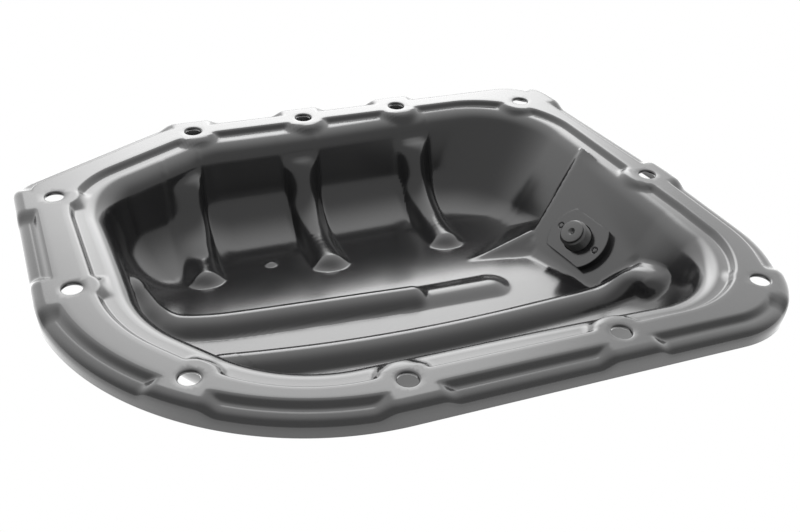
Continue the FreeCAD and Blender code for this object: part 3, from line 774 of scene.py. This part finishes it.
black_coat = coat("black dip coat", (0.009, 0.009, 0.0093), 0.17, speck=0.03)
plug_coat = coat("black plug coat", (0.02, 0.02, 0.02), 0.32, speck=0.04)
washer_metal = coat("rolled aluminium", (0.6, 0.6, 0.61), 0.35, speck=0.05, metallic=1.0)

points, faces = pan_mesh()
pan = add_mesh("pan_sheet", points, faces, black_coat, SHEET_SHARP)
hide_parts("pan_shell")
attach(pan, "pan")


# Drain boss plate, washer and plug: rings of points round the drain axis

PLATE_THICK, PLATE_RADIUS, PLATE_FLAT, PLATE_TURN = 3.4, 14.0, 10.0, math.radians(-2.7)
PLATE_EDGE, HOLE_CHAMFER = 0.35, 0.4
WELD_PLACE, WELD_RADIUS, WELD_WIDTH, WELD_DEPTH = 10.5, 1.15, 0.45, 0.4
THREAD_RADIUS, THREAD_DEPTH, PITCH, CLEARANCE = 6.0, 0.72, 1.25, 0.05
THREAD_START, THREAD_END, RUNOUT_START, RUNOUT_SLOPE = 2.8, 8.5, 8.1, 2.5
STEPS_A_TURN = 12
PLATE_SEGMENTS, WASHER_SEGMENTS, PLUG_SEGMENTS = 288, 96, 120
PLATE_STEPS = 40
HEX_HALF, CROWN = 7.0, 6.8  # half the width across the flats, radius of the round end face
HEAD_LOW, FLANGE_LOW, SEAT = -13.0, -6.0, -3.5
SHANK_END = 2.6

# Profiles as radius and distance from the facet's inside
WASHER_PROFILE = [
    (6.1, -3.3), (6.3, -3.5), (9.3, -3.5), (9.5, -3.3), (9.5, -1.7), (9.3, -1.5), (6.3, -1.5), (6.1, -1.7),
]
FLANGE_PROFILE = [
    (9.6, FLANGE_LOW), (9.9, FLANGE_LOW + 0.1), (10.0, FLANGE_LOW + 0.4), (10.0, SEAT - 0.3), (9.7, SEAT),
    (THREAD_RADIUS, SEAT), (THREAD_RADIUS, SHANK_END),
]
TIP_PROFILE = [
    (5.0, 8.6), (5.0, 9.2), (4.95, 9.4), (4.8, 9.54), (4.55, 9.6), (1.55, 9.6), (1.4, 9.5), (0.3, 8.6),
]


def ring_mesh(name, rings, material, capped):
    """Closed mesh from rings of (across, up, out) points; ends are capped, or joined round a bore."""
    count = len(rings[0])
    local = np.concatenate(rings)
    points = DRAIN + local[:, :1] * LEVEL + local[:, 1:2] * UPHILL + local[:, 2:] * INWARD
    faces = []
    for row in range(len(rings) - 1 if capped else len(rings)):
        start, following = row * count, (row + 1) % len(rings) * count
        for k in range(count):
            after = (k + 1) % count
            faces.append((start + k, start + after, following + after, following + k))
    if capped:
        faces.append(tuple(range(count))[::-1])
        faces.append(tuple((len(rings) - 1) * count + k for k in range(count)))
    thing = add_mesh(name, points, faces, material, RING_SHARP)
    shape = bmesh.new()
    shape.from_mesh(thing.data)
    bmesh.ops.recalc_face_normals(shape, faces=shape.faces)
    shape.to_mesh(thing.data)
    shape.free()
    return thing


def circle(segments):
    """Angles of evenly spaced points round a circle."""
    return np.linspace(0, 2 * math.pi, segments, endpoint=False)


def ring(turns, radius, out):
    radius, out = np.broadcast_to(radius, turns.shape), np.broadcast_to(out, turns.shape)
    return np.column_stack([radius * np.cos(turns), radius * np.sin(turns), out])


def plate_rings():
    """A disc with two flats, the thread's hole and two ring-shaped weld marks."""
    turns = circle(PLATE_SEGMENTS)
    outline = np.minimum(PLATE_RADIUS, PLATE_FLAT / np.maximum(np.abs(np.sin(turns)), 0.01))
    hole = THREAD_RADIUS + CLEARANCE
    low = PLATE_THICK - PLATE_EDGE
    rings = [ring(turns, hole, 0.0), ring(turns, outline, 0.0), ring(turns, outline, low)]
    for bend in np.radians((30, 60, 90)):
        inset, rise = PLATE_EDGE * (1 - math.cos(bend)), PLATE_EDGE * (1 - math.sin(bend))
        rings.append(ring(turns, outline - inset, PLATE_THICK - rise))
    for part in np.linspace(0, 1, PLATE_STEPS)[1:]:
        radius = outline - PLATE_EDGE + (hole + HOLE_CHAMFER - outline + PLATE_EDGE) * part
        gap = np.hypot(np.abs(radius * np.cos(turns)) - WELD_PLACE, radius * np.sin(turns))
        groove = np.clip(1 - ((gap - WELD_RADIUS) / WELD_WIDTH) ** 2, 0, None) ** 2
        rings.append(ring(turns, radius, PLATE_THICK - WELD_DEPTH * groove))
    rings.append(ring(turns, hole, PLATE_THICK - HOLE_CHAMFER))
    for index, row in enumerate(rings):
        across = row[:, 0] * math.cos(PLATE_TURN) - row[:, 1] * math.sin(PLATE_TURN)
        up = row[:, 0] * math.sin(PLATE_TURN) + row[:, 1] * math.cos(PLATE_TURN)
        rings[index] = np.column_stack([across, up, row[:, 2]])
    return rings


def washer_rings():
    turns = circle(WASHER_SEGMENTS)
    return [ring(turns, radius, out) for radius, out in WASHER_PROFILE]


def plug_rings():
    """Hexagon head, seating flange, threaded shank, dog point and centre mark."""
    turns = circle(PLUG_SEGMENTS)
    sector = np.mod(turns, math.pi / 3) - math.pi / 6
    hexagon = HEX_HALF / np.cos(sector)
    rings = [ring(turns, 0.5, HEAD_LOW), ring(turns, CROWN, HEAD_LOW)]
    rings.append(ring(turns, hexagon, HEAD_LOW + (hexagon - CROWN) / 2))
    rings.append(ring(turns, hexagon, FLANGE_LOW))
    rings += [ring(turns, radius, out) for radius, out in FLANGE_PROFILE]
    for out in np.arange(THREAD_START, THREAD_END, PITCH / STEPS_A_TURN):
        across = np.abs(2 * np.mod(out / PITCH - turns / (2 * math.pi), 1.0) - 1)
        runout = THREAD_RADIUS - np.clip(out - RUNOUT_START, 0, None) * RUNOUT_SLOPE
        rings.append(ring(turns, np.minimum(THREAD_RADIUS - THREAD_DEPTH * across, runout), out))
    rings += [ring(turns, radius, out) for radius, out in TIP_PROFILE]
    return rings


plate = ring_mesh("boss_plate", plate_rings(), black_coat, capped=False)
washer = ring_mesh("sealing_washer", washer_rings(), washer_metal, capped=False)
plug = ring_mesh("drain_plug_detail", plug_rings(), plug_coat, capped=True)
for thing, node, body, finish in (
        (plate, "drain_boss_plate", "pan", "pan_coat"),
        (washer, "drain_gasket", "washer", "washer_metal"),
        (plug, "drain_plug", "plug", "plug_coat")):
    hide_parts(node)
    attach(thing, body)


# Room and camera

WHITE = (1, 1, 1, 1)
LIGHT_FROM = (0.256, 0.836, 0.485)
# Two rises of the sky's light towards that direction, added up: cosines of the angle to it, and strengths
SKY_LOBES = ((-0.15, 0.85, 0.95, 2.9), (0.93, 0.995, 0.0, 5.0))

FLOOR_HALF, FLOOR_LOW = 4, -0.0004
FLOOR_GREY, FLOOR_ROUGH = (0.9, 0.9, 0.9, 1), 0.9
SEEN_GLOW, MIRRORED_GLOW = 1.0, 2.6

SENSOR, LENS, CLIP_START = 36, 44.40, 0.01
CAMERA_RIGHT, CAMERA_UP = Vector((0.9314, -0.3615, 0.0436)), Vector((0.1689, 0.535, 0.8277))
CAMERA_PLACE = Vector((-0.1203, -0.3016, 0.1961 + TOP * MM))


def sky():
    """A plain sky, bright above and behind the pan, with one small brighter patch in the middle of that."""
    world = bpy.data.worlds.new("studio")
    bpy.context.scene.world = world
    world.use_nodes = True
    tree = world.node_tree
    where = tree.nodes.new("ShaderNodeTexCoord")
    total = None
    for low, high, dark, bright in SKY_LOBES:
        towards = tree.nodes.new("ShaderNodeVectorMath")
        towards.operation = "DOT_PRODUCT"
        towards.inputs[1].default_value = unit(LIGHT_FROM).tolist()
        fade = tree.nodes.new("ShaderNodeMapRange")
        fade.interpolation_type = "SMOOTHSTEP"
        for name, value in (("From Min", low), ("From Max", high), ("To Min", dark), ("To Max", bright)):
            fade.inputs[name].default_value = value
        tree.links.new(where.outputs["Generated"], towards.inputs[0])
        tree.links.new(towards.outputs["Value"], fade.inputs["Value"])
        if total:
            both = tree.nodes.new("ShaderNodeMath")
            tree.links.new(total, both.inputs[0])
            tree.links.new(fade.outputs["Result"], both.inputs[1])
            total = both.outputs["Value"]
        else:
            total = fade.outputs["Result"]
    tree.nodes["Background"].inputs["Color"].default_value = WHITE
    tree.links.new(total, tree.nodes["Background"].inputs["Strength"])


def glow(tree, strength):
    node = tree.nodes.new("ShaderNodeEmission")
    node.inputs["Color"].default_value = WHITE
    node.inputs["Strength"].default_value = strength
    return node.outputs["Emission"]


def mixed(tree, factor, first, second):
    """The first shader where the factor is 0, the second where it is 1."""
    mix = tree.nodes.new("ShaderNodeMixShader")
    tree.links.new(factor, mix.inputs["Fac"])
    tree.links.new(first, mix.inputs[1])
    tree.links.new(second, mix.inputs[2])
    return mix.outputs["Shader"]


def floor_material():
    """White to the eye, bright in reflections, pale grey to all other light, and clear from below."""
    material = bpy.data.materials.new("pale floor")
    material.use_nodes = True
    tree = material.node_tree
    shader = tree.nodes["Principled BSDF"]
    shader.inputs["Base Color"].default_value = FLOOR_GREY
    shader.inputs["Roughness"].default_value = FLOOR_ROUGH
    paths = tree.nodes.new("ShaderNodeLightPath").outputs
    lit = mixed(tree, paths["Is Glossy Ray"], shader.outputs["BSDF"], glow(tree, MIRRORED_GLOW))
    seen = mixed(tree, paths["Is Camera Ray"], lit, glow(tree, SEEN_GLOW))
    below = tree.nodes.new("ShaderNodeNewGeometry").outputs["Backfacing"]
    clear = tree.nodes.new("ShaderNodeBsdfTransparent").outputs["BSDF"]
    tree.links.new(mixed(tree, below, seen, clear), tree.nodes["Material Output"].inputs["Surface"])
    return material


def room():
    sky()
    mesh = bpy.data.meshes.new("floor")
    corners = [(-FLOOR_HALF, -FLOOR_HALF, 0), (FLOOR_HALF, -FLOOR_HALF, 0)]
    corners += [(FLOOR_HALF, FLOOR_HALF, 0), (-FLOOR_HALF, FLOOR_HALF, 0)]
    mesh.from_pydata(corners, [], [(0, 1, 2, 3)])
    mesh.materials.append(floor_material())
    floor = bpy.data.objects.new("floor", mesh)
    floor.location.z = FLOOR_LOW
    bpy.context.scene.collection.objects.link(floor)


def camera():
    data = bpy.data.cameras.new("camera")
    data.sensor_width = SENSOR
    data.lens = LENS
    data.clip_start = CLIP_START
    thing = bpy.data.objects.new("camera", data)
    place = Matrix((CAMERA_RIGHT, CAMERA_UP, CAMERA_RIGHT.cross(CAMERA_UP))).transposed().to_4x4()
    place.translation = CAMERA_PLACE
    thing.matrix_world = place
    bpy.context.scene.collection.objects.link(thing)
    bpy.context.scene.camera = thing


room()
camera()
bpy.context.scene.view_settings.view_transform = "Standard"
